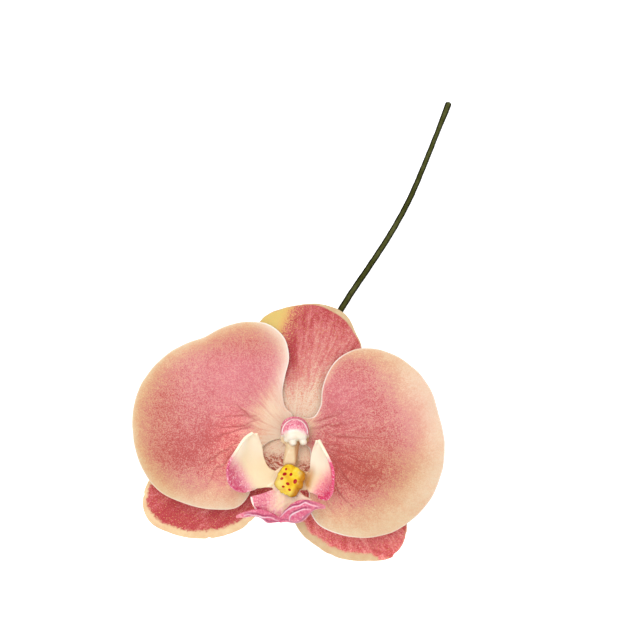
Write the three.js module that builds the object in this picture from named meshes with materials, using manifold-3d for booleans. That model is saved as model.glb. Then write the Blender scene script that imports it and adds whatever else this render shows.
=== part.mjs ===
// Single moth orchid bloom, hand made in thin paste, on a wire stem wrapped in florist's tape.
// It lies face up: the petals face +Z, the dorsal sepal and the stem point to +Y.
// Millimetres. Plan places are measured on the bloom; the last lines move the whole object so
// that its origin is the middle of its box, on the surface that it lies on.

import * as THREE from 'three';
import { mergeVertices } from 'three/addons/utils/BufferGeometryUtils.js';
import Module from 'manifold-3d';

const wasm = await Module();
wasm.setup();

// Driving dimensions
const HEART = [-1.5, 1.0];        // plan place of the receptacle, where everything meets
const SEPAL_LEVEL = 11.3;         // middle surface of the sepals at the heart
const PETAL_LEVEL = 12.7;         // middle surface of the petals at the heart
const COLUMN_FOOT_LEVEL = 13.55;
const LIP_LEVEL = 16.4;           // middle surface of the lip's floor
const SEPAL_THICKNESS = 1.1;
const PETAL_THICKNESS = 1.1;
const EDGE_THICKNESS = 0.7;
const LIP_THICKNESS = 0.8;
const SEAT_GAP = 0.3;

const STEM_RADIUS = 0.75;
const BORE_RADIUS = 0.55;
const WIRE_RADIUS = 0.4;
const STEM_SIDES = 8;
const STEM_STEPS = 46;
const ELBOW_RADIUS = 4.5;

// Small helpers

const smooth = THREE.MathUtils.smoothstep;
const lerp = THREE.MathUtils.lerp;

function fromHeart(x, y) {
  return Math.hypot(x - HEART[0], y - HEART[1]);
}

function vectors(points) {
  return points.map(([x, y, z = 0]) => new THREE.Vector3(x, y, z));
}

function openCurve(points) {
  return new THREE.CatmullRomCurve3(vectors(points), false, 'centripetal');
}

function closedOutline(points, count) {
  const curve = new THREE.CatmullRomCurve3(vectors(points), true, 'centripetal');
  const loop = curve.getSpacedPoints(count).slice(0, count);
  return THREE.ShapeUtils.area(loop) > 0 ? loop : loop.reverse();
}

function bodyOf(vertices, triangles) {
  const geometry = new THREE.BufferGeometry();
  geometry.setAttribute('position', new THREE.Float32BufferAttribute(vertices.flat(), 3));
  geometry.setIndex(triangles.flat());
  return geometry;
}

function toManifold(geometry) {
  geometry.deleteAttribute('normal');
  geometry.deleteAttribute('uv');
  const merged = mergeVertices(geometry, 1e-4);
  return new wasm.Manifold(new wasm.Mesh({
    numProp: 3,
    vertProperties: new Float32Array(merged.attributes.position.array),
    triVerts: new Uint32Array(merged.index.array),
  }));
}

function fromManifold(solid) {
  const { numProp, vertProperties, triVerts } = solid.getMesh();
  const positions = [];
  for (let i = 0; i < vertProperties.length; i += numProp) {
    positions.push(vertProperties[i], vertProperties[i + 1], vertProperties[i + 2]);
  }
  const geometry = new THREE.BufferGeometry();
  geometry.setAttribute('position', new THREE.Float32BufferAttribute(positions, 3));
  geometry.setIndex([...triVerts]);
  return geometry;
}

// A blade is a thin closed body over a plan outline. Rings run from its middle to its edge, and
// both faces are split alike. Its underside stops at the surface that the flower lies on.
function blade({ outline, middle, height, thickness, rings, count }) {
  const edge = closedOutline(outline, count);
  const plan = [[middle[0], middle[1], 0]];
  for (let ring = 1; ring <= rings; ring += 1) {
    const u = (ring / rings) ** 0.8;
    edge.forEach((p) => plan.push([lerp(middle[0], p.x, u), lerp(middle[1], p.y, u), u]));
  }

  const upper = [];
  const lower = [];
  plan.forEach(([x, y, u]) => {
    const thick = lerp(thickness, EDGE_THICKNESS, u ** 3);
    const under = Math.max(0, height(x, y, u) - thick / 2);
    upper.push([x, y, under + thick]);
    lower.push([x, y, under]);
  });

  const face = [];
  for (let i = 0; i < count; i += 1) {
    const next = (i + 1) % count;
    face.push([0, 1 + i, 1 + next]);
    for (let ring = 0; ring < rings - 1; ring += 1) {
      const inner = 1 + ring * count;
      const outer = inner + count;
      face.push([inner + i, outer + i, outer + next], [inner + i, outer + next, inner + next]);
    }
  }

  const under = upper.length;
  const rimStart = 1 + (rings - 1) * count;
  const triangles = [...face];
  face.forEach(([a, b, c]) => triangles.push([under + a, under + c, under + b]));
  for (let i = 0; i < count; i += 1) {
    const a = rimStart + i;
    const b = rimStart + ((i + 1) % count);
    triangles.push([a, under + a, under + b], [a, under + b, b]);
  }
  return bodyOf([...upper, ...lower], triangles);
}

// A strip is a thin closed body between two edge lines in space, bowed in between.
function strip({ inner, outer, bow = [0, 0, 0], thickness = LIP_THICKNESS, along, across }) {
  const from = openCurve(inner);
  const to = openCurve(outer);
  const lift = new THREE.Vector3(...bow);
  const point = (s, t) => {
    const middle = from.getPointAt(s).lerp(to.getPointAt(s), t);
    return middle.addScaledVector(lift, 4 * t * (1 - t));
  };

  const upper = [];
  const lower = [];
  const step = 0.01;
  for (let i = 0; i <= along; i += 1) {
    for (let j = 0; j <= across; j += 1) {
      const s = i / along;
      const t = j / across;
      const ds = point(Math.min(1, s + step), t).sub(point(Math.max(0, s - step), t));
      const dt = point(s, Math.min(1, t + step)).sub(point(s, Math.max(0, t - step)));
      const normal = ds.cross(dt).normalize();
      upper.push(point(s, t).addScaledVector(normal, thickness / 2).toArray());
      lower.push(point(s, t).addScaledVector(normal, -thickness / 2).toArray());
    }
  }

  const row = across + 1;
  const under = upper.length;
  const triangles = [];
  for (let i = 0; i < along; i += 1) {
    for (let j = 0; j < across; j += 1) {
      const a = i * row + j;
      const quad = [[a, a + row, a + row + 1], [a, a + row + 1, a + 1]];
      quad.forEach(([p, q, r]) => {
        triangles.push([p, q, r], [under + p, under + r, under + q]);
      });
    }
  }
  const rim = [];
  for (let j = 0; j < across; j += 1) rim.push(j);
  for (let i = 0; i < along; i += 1) rim.push(i * row + across);
  for (let j = across; j > 0; j -= 1) rim.push(along * row + j);
  for (let i = along; i > 0; i -= 1) rim.push(i * row);
  rim.forEach((a, i) => {
    const b = rim[(i + 1) % rim.length];
    triangles.push([a, b, under + b], [a, under + b, under + a]);
  });
  return bodyOf([...upper, ...lower], triangles);
}

// A tube follows a run of the stem's cross-sections. A flat side of it faces down.
function tube(sections, radius) {
  const vertices = [];
  const triangles = [];
  sections.forEach(({ centre, normal, binormal }) => {
    for (let k = 0; k < STEM_SIDES; k += 1) {
      const angle = ((k + 0.5) / STEM_SIDES) * 2 * Math.PI;
      const p = centre.clone();
      p.addScaledVector(normal, radius * Math.cos(angle));
      p.addScaledVector(binormal, radius * Math.sin(angle));
      vertices.push(p.toArray());
    }
  });
  const last = (sections.length - 1) * STEM_SIDES;
  for (let k = 0; k < STEM_SIDES; k += 1) {
    const next = (k + 1) % STEM_SIDES;
    for (let i = 0; i < sections.length - 1; i += 1) {
      const a = i * STEM_SIDES;
      const b = a + STEM_SIDES;
      triangles.push([a + k, a + next, b + next], [a + k, b + next, b + k]);
    }
  }
  for (let k = 1; k < STEM_SIDES - 1; k += 1) {
    triangles.push([0, k + 1, k], [last, last + k, last + k + 1]);
  }
  return bodyOf(vertices, triangles);
}

function plate(outline, bottom, top, bevel) {
  const shape = new THREE.Shape(closedOutline(outline, 28).map((p) => new THREE.Vector2(p.x, p.y)));
  const geometry = new THREE.ExtrudeGeometry(shape, {
    depth: top - bottom - 2 * bevel,
    bevelThickness: bevel,
    bevelSize: bevel,
    bevelOffset: -bevel,
    bevelSegments: 2,
    steps: 1,
  });
  return geometry.translate(0, 0, bottom + bevel);
}

function ball(x, y, z, radius) {
  return new THREE.SphereGeometry(radius, 10, 7).translate(x, y, z);
}

// Stem

const GROUND_LINE = [
  [43.8, 98.9], [39.9, 89.0], [36.0, 79.3], [31.9, 69.9], [26.5, 60.1], [20.4, 50.7],
  [14.0, 41.2], [8.0, 31.0], [2.8, 20.5], [-0.6, 12.0], [-1.5, 5.5],
];
const WIRE_TOP = 8.6;

function stemSections() {
  const level = STEM_RADIUS * Math.cos(Math.PI / STEM_SIDES);
  const [x, y] = HEART;
  const corner = 0.45 * ELBOW_RADIUS;
  const path = new THREE.CurvePath();
  path.add(openCurve(GROUND_LINE.map(([px, py]) => [px, py, level])));
  path.add(new THREE.CubicBezierCurve3(
    ...vectors([
      [x, y + ELBOW_RADIUS, level],
      [x, y + corner, level],
      [x, y, level + ELBOW_RADIUS - corner],
      [x, y, level + ELBOW_RADIUS],
    ]),
  ));
  path.add(new THREE.LineCurve3(
    ...vectors([[x, y, level + ELBOW_RADIUS], [x, y, WIRE_TOP]]),
  ));
  const { normals, binormals } = path.computeFrenetFrames(STEM_STEPS, false);
  return normals.map((normal, i) => (
    { centre: path.getPointAt(i / STEM_STEPS), normal, binormal: binormals[i] }
  ));
}

function stemTape(sections) {
  const sleeve = toManifold(tube(sections.slice(0, -1), STEM_RADIUS));
  const bore = toManifold(tube(sections.slice(1), BORE_RADIUS));
  return fromManifold(sleeve.subtract(bore));
}

function stemWire(sections) {
  return tube(sections.slice(2), WIRE_RADIUS);
}

// Receptacle: a small cone with a socket for the stem's end

const RECEPTACLE_FOOT = 5.4;
const SOCKET_RADIUS = 1.0;

function receptacle() {
  const top = SEPAL_LEVEL - SEPAL_THICKNESS / 2 - SEAT_GAP;
  const profile = [
    [0, WIRE_TOP + SEAT_GAP], [SOCKET_RADIUS, WIRE_TOP + SEAT_GAP],
    [SOCKET_RADIUS, RECEPTACLE_FOOT], [1.7, RECEPTACLE_FOOT], [2.0, 7.2], [2.7, 9.0],
    [3.4, 10.1], [3.2, top], [0, top],
  ];
  const lathe = new THREE.LatheGeometry(profile.map(([r, z]) => new THREE.Vector2(r, z)), 20);
  return lathe.rotateX(Math.PI / 2).translate(HEART[0], HEART[1], 0);
}

// Sepals: outlines, and how far each falls from the heart to its tip

const DORSAL_OUTLINE = [
  [-3.2, 2.5], [-5.8, 7.7], [-9.0, 13.8], [-12.2, 20.2], [-14.3, 26.7], [-13.4, 31.9],
  [-10.2, 36.0], [-5.6, 38.1], [-0.6, 39.2], [4.9, 39.6], [10.2, 38.3], [13.9, 35.7],
  [16.1, 31.4], [17.9, 27.0], [16.6, 21.1], [13.1, 14.7], [9.0, 9.2], [5.2, 5.1], [2.0, 2.5],
];
const SEPAL_LEFT_OUTLINE = [
  [-1.9, 0.5], [-1.9, -4.2], [-3.0, -9.1], [-5.3, -14.1], [-8.8, -18.5], [-12.7, -22.2],
  [-16.5, -26.0], [-21.2, -28.2], [-26.7, -29.4], [-32.6, -29.3], [-38.4, -27.8],
  [-43.7, -25.1], [-46.2, -20.4], [-45.8, -15.3], [-43.4, -10.6], [-38.4, -5.9],
  [-31.1, -2.1], [-22.9, 0.2], [-14.7, 1.4], [-7.4, 1.6],
];
const SEPAL_RIGHT_OUTLINE = [
  [-1.3, 0.5], [-1.3, -4.2], [-1.6, -9.1], [-2.0, -14.1], [-2.5, -19.1], [-1.8, -23.8],
  [0.5, -28.0], [4.3, -31.3], [9.0, -34.3], [14.6, -35.9], [20.7, -36.1], [25.1, -35.7],
  [27.0, -35.0], [28.7, -33.2], [30.1, -31.2], [31.2, -27.8], [31.3, -23.8], [29.2, -18.5], [24.8, -13.2], [18.4, -8.0],
  [11.1, -3.0], [4.6, 0.2],
];

function dorsalHeight(x, y, u) {
  const reach = fromHeart(x, y);
  return SEPAL_LEVEL - 3.4 * smooth(reach, 6, 40) - 1.0 * u ** 4 * smooth(reach, 8, 30);
}

// A lateral sepal falls until its tip lies flat on the surface.
function lateralHeight(length) {
  return (x, y) => {
    const fall = SEPAL_LEVEL - EDGE_THICKNESS / 2;
    return SEPAL_LEVEL - fall * smooth(fromHeart(x, y), 4, length);
  };
}

function sepal(outline, middle, height) {
  return blade({ outline, middle, height, thickness: SEPAL_THICKNESS, rings: 5, count: 48 });
}

// Petals: broad, gently domed and waved at the edge

const PETAL_LEFT_OUTLINE = [
  [-2.1, 2.8], [-2.2, 7.4], [-4.1, 9.5], [-5.0, 13.3], [-4.2, 18.8], [-3.1, 24.0],
  [-4.7, 29.9], [-9.3, 33.6], [-15.4, 34.4], [-21.5, 33.1], [-27.9, 29.9], [-34.8, 27.3],
  [-41.1, 22.8], [-45.9, 16.7], [-48.3, 9.5], [-48.5, 2.0], [-46.5, -6.8], [-41.6, -14.3],
  [-33.7, -18.4], [-25.3, -20.1], [-18.3, -19.5], [-14.8, -15.8], [-13.1, -9.4],
  [-11.3, -2.4], [-7.3, 0.2], [-3.8, 0.8],
];
const PETAL_RIGHT_OUTLINE = [
  [-1.2, 2.8], [-1.1, 6.9], [0.9, 6.6], [3.8, 6.8], [5.8, 9.8], [6.5, 15.3], [8.4, 20.3],
  [11.9, 24.3], [16.8, 26.4], [22.4, 26.4], [28.2, 24.3], [33.7, 20.3], [37.8, 15.0],
  [40.1, 8.1], [41.8, 0.5], [41.4, -8.2], [38.4, -16.4], [33.4, -22.5], [26.7, -26.8],
  [19.2, -28.3], [11.6, -27.4], [5.5, -24.6], [3.0, -20.7], [2.6, -14.6], [2.9, -8.2],
  [2.6, -2.4], [0.2, -0.4],
];
const PETAL_RISE = 1.8;
const PETAL_EDGE_FALL = 4.6;

function petalHeight(middle, waves, phase) {
  return (x, y, u) => {
    const reach = fromHeart(x, y);
    const angle = Math.atan2(y - middle[1], x - middle[0]);
    const wave = 0.7 * Math.sin(waves * angle + phase) * u ** 3;
    const free = smooth(reach, 8, 34);
    return PETAL_LEVEL + PETAL_RISE * smooth(reach, 6.5, 24) - PETAL_EDGE_FALL * u * u * free
      + wave * free;
  };
}

function petal(outline, middle, waves, phase) {
  const height = petalHeight(middle, waves, phase);
  return blade({ outline, middle, height, thickness: PETAL_THICKNESS, rings: 6, count: 56 });
}

// Column: a hood round the anther cap, and a foot that reaches to the lip

const HOOD_TOP = 21.3;
const POCKET_FLOOR = 15.0;
const FOOT_TOP = 17.6;
const HOOD_OUTLINE = [
  [-5.2, -0.6], [-5.6, 1.8], [-5.5, 4.2], [-4.6, 6.0], [-3.0, 7.1], [-1.4, 7.4], [0.4, 6.9],
  [1.8, 5.7], [2.6, 4.0], [2.7, 1.8], [2.3, -0.6],
];
const POCKET_OUTLINE = [
  [-4.9, -3.5], [-4.7, 0.5], [-4.6, 3.0], [-3.9, 4.6], [-2.7, 5.4], [-1.5, 5.6], [0.0, 5.3],
  [1.2, 4.5], [1.9, 3.0], [2.0, 0.5], [2.0, -3.5],
];
const FOOT_OUTLINE = [
  [-4.2, 2.0], [-4.3, -1.5], [-4.7, -4.4], [-5.1, -6.4], [-3.3, -6.5], [-1.5, -6.5],
  [-0.8, -4.4], [-0.3, -1.5], [-0.2, 2.0],
];

function column() {
  const hood = toManifold(plate(HOOD_OUTLINE, COLUMN_FOOT_LEVEL, HOOD_TOP, 0.7));
  const pocket = toManifold(plate(POCKET_OUTLINE, POCKET_FLOOR, HOOD_TOP + 2, 0.2));
  const foot = toManifold(plate(FOOT_OUTLINE, COLUMN_FOOT_LEVEL, FOOT_TOP, 0.5));
  const front = toManifold(plate(FOOT_OUTLINE, COLUMN_FOOT_LEVEL, POCKET_FLOOR, 0.2));
  return fromManifold(hood.subtract(pocket).add(foot.subtract(pocket)).add(front));
}

const CAP_OUTLINE = [
  [-4.3, -0.9], [-4.4, 1.2], [-4.3, 3.0], [-3.6, 4.3], [-2.5, 5.0], [-1.4, 5.2], [-0.1, 4.9],
  [0.9, 4.3], [1.5, 3.0], [1.6, 1.2], [1.5, -0.9],
];
const CAP_TOP = 20.2;
const BEADS = [[-2.0, -0.9, 18.0, 1.15], [0.6, -0.8, 18.1, 1.15]];

function antherCap() {
  let cap = toManifold(plate(CAP_OUTLINE, POCKET_FLOOR + SEAT_GAP, CAP_TOP, 0.7));
  BEADS.forEach((bead) => {
    cap = cap.add(toManifold(ball(...bead)));
  });
  return fromManifold(cap);
}

// Lip: floor, two side lobes, middle lobe, and the two curled flaps that end in tendrils

const FLOOR_OUTLINE = [
  [-8.3, -12.9], [-8.3, -10.6], [-6.8, -8.3], [-4.8, -7.1], [-2.8, -6.9], [-0.5, -7.6],
  [1.5, -8.6], [3.2, -9.2], [3.5, -11.5], [2.4, -13.8], [-0.2, -14.3], [-2.8, -15.5],
  [-5.7, -14.6], [-8.0, -13.5],
];
const LOBE_LEFT_INNER = [
  [-12.1, 2.5, 25.0], [-10.8, -0.9, 20.5], [-10.3, -4.5, 18.0], [-8.8, -7.6, 16.8],
  [-6.8, -8.9, 16.4], [-6.8, -11.2, 16.4], [-8.3, -13.2, 16.8],
];
const LOBE_LEFT_OUTER = [
  [-13.2, 2.8, 25.5], [-15.4, 1.4, 27.0], [-17.7, -1.9, 27.5], [-20.0, -5.7, 26.5],
  [-20.6, -9.2, 25.0], [-19.3, -13.0, 22.5], [-16.5, -14.3, 20.5], [-13.7, -13.7, 19.0],
];
const LOBE_RIGHT_INNER = [
  [4.7, 0.5, 25.0], [3.7, -2.0, 20.5], [3.2, -5.3, 18.0], [2.9, -8.3, 16.8],
  [1.8, -10.6, 16.4], [1.8, -12.6, 16.4], [2.6, -14.6, 16.8],
];
const LOBE_RIGHT_OUTER = [
  [5.2, 0.8, 25.5], [6.6, -1.4, 27.0], [8.3, -4.5, 27.5], [9.5, -7.7, 26.5],
  [9.6, -11.2, 25.0], [9.2, -14.5, 22.5], [7.8, -16.5, 20.5], [5.2, -16.0, 19.0],
];
const MIDDLE_BACK = [
  [-13.7, -15.8, 17.5], [-10.8, -15.0, 17.0], [-8.0, -14.0, 16.6], [-4.3, -12.9, 16.4],
  [-0.8, -13.7, 16.5], [1.2, -15.6, 16.8], [3.5, -16.6, 17.4],
];
const MIDDLE_FRONT = [
  [-12.9, -19.5, 17.0], [-10.6, -21.5, 16.2], [-8.6, -23.0, 16.0], [-6.0, -22.3, 15.6],
  [-2.8, -23.0, 16.0], [0.1, -22.8, 16.2], [2.6, -20.6, 17.0],
];
const FLAP_RIGHT_TOP = [
  [-5.8, -22.0, 16.4], [-3.9, -19.6, 18.6], [-1.9, -17.8, 20.0], [0.4, -16.8, 20.8],
  [2.9, -16.9, 20.8], [5.2, -17.5, 20.5], [7.2, -18.1, 20.0],
];
const FLAP_RIGHT_LOW = [
  [-5.6, -22.6, 15.8], [-3.7, -22.8, 16.0], [-1.4, -23.3, 16.4], [0.9, -22.6, 17.2],
  [2.6, -20.8, 18.4], [4.4, -18.8, 19.4], [7.0, -18.6, 19.8],
];
const FLAP_LEFT_TOP = [
  [-5.8, -22.0, 16.4], [-7.7, -20.9, 17.6], [-9.7, -19.9, 18.8], [-11.9, -19.6, 19.3],
  [-14.2, -19.9, 19.0], [-16.3, -20.5, 18.6], [-18.3, -21.3, 18.0],
];
const FLAP_LEFT_LOW = [
  [-6.1, -22.6, 15.8], [-7.7, -23.1, 16.0], [-9.1, -23.3, 16.2], [-11.1, -21.7, 17.2],
  [-13.1, -20.9, 18.0], [-15.7, -21.2, 18.0], [-18.1, -21.8, 17.6],
];

function lip() {
  const pieces = [
    blade({
      outline: FLOOR_OUTLINE, middle: [-2.6, -11.2], height: () => LIP_LEVEL,
      thickness: LIP_THICKNESS, rings: 2, count: 24,
    }),
    strip({ inner: LOBE_LEFT_INNER, outer: LOBE_LEFT_OUTER, bow: [-0.6, 0, -1.4], along: 12, across: 5 }),
    strip({ inner: LOBE_RIGHT_OUTER, outer: LOBE_RIGHT_INNER, bow: [0.6, 0, -1.4], along: 12, across: 5 }),
    strip({ inner: MIDDLE_FRONT, outer: MIDDLE_BACK, bow: [0, 0, 0.5], along: 12, across: 4 }),
    strip({ inner: FLAP_RIGHT_LOW, outer: FLAP_RIGHT_TOP, bow: [0, -0.8, 0.5], along: 12, across: 4 }),
    strip({ inner: FLAP_LEFT_TOP, outer: FLAP_LEFT_LOW, bow: [0, -0.6, 0.4], along: 12, across: 4 }),
  ];
  return fromManifold(pieces.map(toManifold).reduce((whole, piece) => whole.add(piece)));
}

// Callus: the yellow lump on the lip's floor

const CALLUS_TOP = 21.0;
const CALLUS_OUTLINE = [
  [-4.2, -6.6], [-2.5, -6.4], [-0.5, -7.6], [1.6, -9.0], [1.4, -10.7], [0.9, -12.4],
  [0.1, -13.9], [-1.1, -15.6], [-2.5, -16.1], [-4.5, -14.9], [-6.5, -13.6], [-7.4, -12.1],
  [-6.8, -10.6], [-5.6, -8.1],
];

function callus() {
  const foot = LIP_LEVEL + LIP_THICKNESS / 2 + 2 * SEAT_GAP;
  return plate(CALLUS_OUTLINE, foot, CALLUS_TOP, 1.1);
}

// Assembly

function mesh(name, geometry, colour, roughness, metalness = 0) {
  geometry.computeVertexNormals();
  const material = new THREE.MeshStandardMaterial({ color: colour, roughness, metalness });
  const piece = new THREE.Mesh(geometry, material);
  piece.name = name;
  return piece;
}

const sections = stemSections();
const leftMiddle = [-26, 8];
const rightMiddle = [22, -1];

const flower = new THREE.Group();
flower.add(
  mesh('stem_wire', stemWire(sections), 0x8a8d8f, 0.35, 1),
  mesh('stem_tape', stemTape(sections), 0x4b4d30, 0.75),
  mesh('receptacle', receptacle(), 0xcfc79a, 0.6),
  mesh('sepal_dorsal', sepal(DORSAL_OUTLINE, [1, 23], dorsalHeight), 0xd56a6c, 0.6),
  mesh('sepal_left', sepal(SEPAL_LEFT_OUTLINE, [-25, -15], lateralHeight(43)), 0xcb575a, 0.6),
  mesh('sepal_right', sepal(SEPAL_RIGHT_OUTLINE, [15, -20], lateralHeight(40)), 0xd0605f, 0.6),
  mesh('petal_left', petal(PETAL_LEFT_OUTLINE, leftMiddle, 4, 0.6), 0xe09290, 0.6),
  mesh('petal_right', petal(PETAL_RIGHT_OUTLINE, rightMiddle, 4, 2.1), 0xe08e88, 0.6),
  mesh('column', column(), 0xeea0ab, 0.35),
  mesh('anther_cap', antherCap(), 0xfaf3e0, 0.4),
  mesh('lip', lip(), 0xf0c4b0, 0.4),
  mesh('callus', callus(), 0xecb832, 0.4),
);

const box = new THREE.Box3().setFromObject(flower);
const centre = box.getCenter(new THREE.Vector3());
flower.position.set(-centre.x, -centre.y, -box.min.z);

export default flower;
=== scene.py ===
import math

import bpy
import numpy as np
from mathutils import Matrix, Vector
from mathutils.kdtree import KDTree


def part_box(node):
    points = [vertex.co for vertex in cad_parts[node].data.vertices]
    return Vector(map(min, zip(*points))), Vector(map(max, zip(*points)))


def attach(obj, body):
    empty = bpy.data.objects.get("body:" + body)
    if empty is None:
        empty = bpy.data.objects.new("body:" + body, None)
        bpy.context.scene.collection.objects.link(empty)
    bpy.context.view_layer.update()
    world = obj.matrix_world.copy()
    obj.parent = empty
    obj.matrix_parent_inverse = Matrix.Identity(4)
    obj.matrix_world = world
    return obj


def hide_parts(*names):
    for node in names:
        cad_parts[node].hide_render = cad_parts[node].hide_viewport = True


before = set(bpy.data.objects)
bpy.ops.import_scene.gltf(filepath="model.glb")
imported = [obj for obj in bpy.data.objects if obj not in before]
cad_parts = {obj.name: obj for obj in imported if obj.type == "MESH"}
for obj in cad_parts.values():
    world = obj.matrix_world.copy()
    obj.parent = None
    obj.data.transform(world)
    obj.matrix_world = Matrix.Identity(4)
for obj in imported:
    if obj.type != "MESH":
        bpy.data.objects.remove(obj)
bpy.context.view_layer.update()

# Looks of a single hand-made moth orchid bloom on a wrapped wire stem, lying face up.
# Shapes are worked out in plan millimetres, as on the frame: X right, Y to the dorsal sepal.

MM = 0.001

# Driving dimensions, in millimetres
HEART = np.array([-1.5, 1])
SEPAL_LEVEL = 11.3
PETAL_LEVEL = 12.7
COLUMN_FOOT_LEVEL = 13.55
LIP_LEVEL = 16.4
BLADE_THICKNESS = 1.1
EDGE_THICKNESS = 0.7
LIP_THICKNESS = 0.8
STEM_RADIUS = 0.75
ELBOW_RADIUS = 4.5

# The receptacle's middle in the frame says where the plan's heart is.
low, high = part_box("receptacle")
SHIFT = np.array([(low[k] + high[k]) / 2 / MM - HEART[k] for k in range(2)] + [0])


# Camera, floor and light

CAMERA_HEIGHT = 700.0
CAMERA_PLAN = (5.8, 34.8)
SHARP_LEVEL = 10.0                # the level at which the picture is PICTURE_WIDTH wide
PICTURE_WIDTH = 185.6
SENSOR = 36.0


def in_frame(x, y, z):
    return ((x, y, z) + SHIFT) * MM


def add_object(name, data, spot=(0, 0, 0)):
    made = bpy.data.objects.new(name, data)
    made.location = spot
    bpy.context.scene.collection.objects.link(made)
    return made


def make_camera():
    data = bpy.data.cameras.new("camera")
    data.sensor_width = SENSOR
    data.lens = SENSOR * (CAMERA_HEIGHT - SHARP_LEVEL) / PICTURE_WIDTH
    data.clip_start = 0.01
    bpy.context.scene.camera = add_object("camera", data, in_frame(*CAMERA_PLAN, CAMERA_HEIGHT))


def area_light(name, place, size, power):
    data = bpy.data.lights.new(name, "AREA")
    data.shape = "DISK"
    data.size = size
    data.energy = power
    aim = Vector(in_frame(0, 0, 12)) - Vector(place)
    add_object(name, data, place).rotation_euler = aim.to_track_quat("-Z", "Y").to_euler()


def make_light():
    area_light("key", (-0.2, 0.24, 0.88), size=0.6, power=4.8)
    area_light("fill", (0.5, -0.3, 0.7), size=0.6, power=0.9)
    world = bpy.data.worlds.new("studio")
    bpy.context.scene.world = world
    world.use_nodes = True
    sky = world.node_tree.nodes["Background"]
    sky.inputs["Color"].default_value = (1, 1, 1, 1)
    sky.inputs["Strength"].default_value = 1.06


# Colours and node helpers

OPEN_LIGHT = 1.64                 # how bright the studio makes a white surface that faces up
# The numbers below paint their parts lighter or darker than OPEN_LIGHT does, to make up for the shade or
# light on them there, such as the petals' shadow on the lateral sepals: painted light and shade.
HEAD_LIGHT = 1.5                  # the same on the hood, the cap and the callus
LIP_LIGHT = 1.38                  # on the lip's steeper sides
LEFT_LIGHT = 1.42                 # on the left lateral sepal
RIGHT_LIGHT = 1.2                 # on the right one
DORSAL_BORDER_LIGHT = 1.85        # on the sepals' borders
LEFT_BORDER_LIGHT = 1.36
RIGHT_BORDER_LIGHT = 1.58


def paint(red, green, blue, light=OPEN_LIGHT):
    """The surface colour that looks like the given one under that much light."""
    def linear(value):
        value = value / 255
        return value / 12.92 if value <= 0.04045 else ((value + 0.055) / 1.055) ** 2.4
    return tuple(min(linear(value) / light, 0.96) for value in (red, green, blue)) + (1,)


class Shader:
    """A material whose nodes are added one call at a time."""

    def __init__(self, name):
        self.material = bpy.data.materials.new(name)
        self.material.use_nodes = True
        self.tree = self.material.node_tree
        self.surface = self.tree.nodes["Principled BSDF"].inputs
        self.place = self.node("ShaderNodeTexCoord", out="Object")

    def put(self, socket, value):
        if isinstance(value, bpy.types.NodeSocket):
            self.tree.links.new(value, socket)
        else:
            socket.default_value = value

    def node(self, kind, inputs=None, out=0, **settings):
        made = self.tree.nodes.new(kind)
        for key, value in settings.items():
            setattr(made, key, value)
        for key, value in (inputs or {}).items():
            self.put(made.inputs[key], value)
        return made.outputs[out]

    def read(self, name):
        return self.node("ShaderNodeAttribute", out="Fac", attribute_name=name)

    def math(self, operation, *values, clamp=False):
        return self.node("ShaderNodeMath", dict(enumerate(values)), operation=operation, use_clamp=clamp)

    def sum(self, *values, clamp=False):
        total = values[0]
        for value in values[1:-1]:
            total = self.math("ADD", total, value)
        return self.math("ADD", total, values[-1], clamp=clamp)

    def product(self, a, b):
        return self.math("MULTIPLY", a, b)

    def scaled(self, value, factor, offset=0, clamp=False):
        return self.math("MULTIPLY_ADD", value, factor, offset, clamp=clamp)

    def swing(self, value, amount):
        """A noise that swings by amount about zero."""
        return self.scaled(value, amount, -amount / 2)

    def noise(self, scale, detail=3, roughness=0.55, distortion=0, vector=None):
        return self.node("ShaderNodeTexNoise", {
            "Vector": vector or self.place, "Scale": scale, "Detail": detail,
            "Roughness": roughness, "Distortion": distortion,
        })

    def along(self, first, first_scale, second, second_scale):
        """Places for a noise that runs along two painted values."""
        x, y = self.scaled(self.read(first), first_scale), self.scaled(self.read(second), second_scale)
        return self.node("ShaderNodeCombineXYZ", {"X": x, "Y": y})

    def ramp(self, value, stops, light=OPEN_LIGHT):
        """stops: a position each, and the red, green and blue seen there under that light."""
        made = self.node("ShaderNodeValToRGB", {"Fac": value})
        elements = made.node.color_ramp.elements
        for index, (position, *colour) in enumerate(stops):
            element = elements[index] if index < len(elements) else elements.new(position)
            element.position = position
            element.color = paint(*colour, light)
        return made

    def level(self, value, low_end, high_end):
        inputs = {"Value": value, "From Min": low_end, "From Max": high_end}
        return self.node("ShaderNodeMapRange", inputs, interpolation_type="SMOOTHSTEP")

    def mix(self, factor, a, b, blend="MIX"):
        inputs = {0: factor, 6: a, 7: b}
        return self.node("ShaderNodeMix", inputs, out=2, data_type="RGBA", blend_type=blend)

    def tint(self, colour, name, amount, other, blend="MIX"):
        """The other colour laid over colour, as strongly as the painted value says."""
        return self.mix(self.scaled(self.read(name), amount), colour, other, blend)

    def finish(self, colour, rough, relief, specular=0.5, soft=(0, 0.05), coat=(0, 0.03), metal=0):
        """rough: a noise, its swing, its base. relief: a noise, its height in metres, its strength."""
        height, distance, strength = relief
        bump = {"Height": height, "Distance": distance, "Strength": strength}
        for key, value in {
            "Base Color": colour, "Roughness": self.scaled(*rough), "Metallic": metal,
            "Normal": self.node("ShaderNodeBump", bump), "Specular IOR Level": specular,
            "Subsurface Weight": soft[0], "Subsurface Scale": soft[1],
            "Coat Weight": coat[0], "Coat Roughness": coat[1],
        }.items():
            self.put(self.surface[key], value)
        return self.material


def floor_material():
    s = Shader("paper_floor")
    fleck = s.noise(40)
    colour = s.ramp(fleck, [(0, 246, 246, 246), (1, 252, 252, 252)], light=1)
    s.put(s.surface["Emission Color"], (1, 1, 1, 1))
    s.put(s.surface["Emission Strength"], 0.5)
    return s.finish(colour, (fleck, 0.1, 0.8), (fleck, 0.0001, 0.1))


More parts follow.
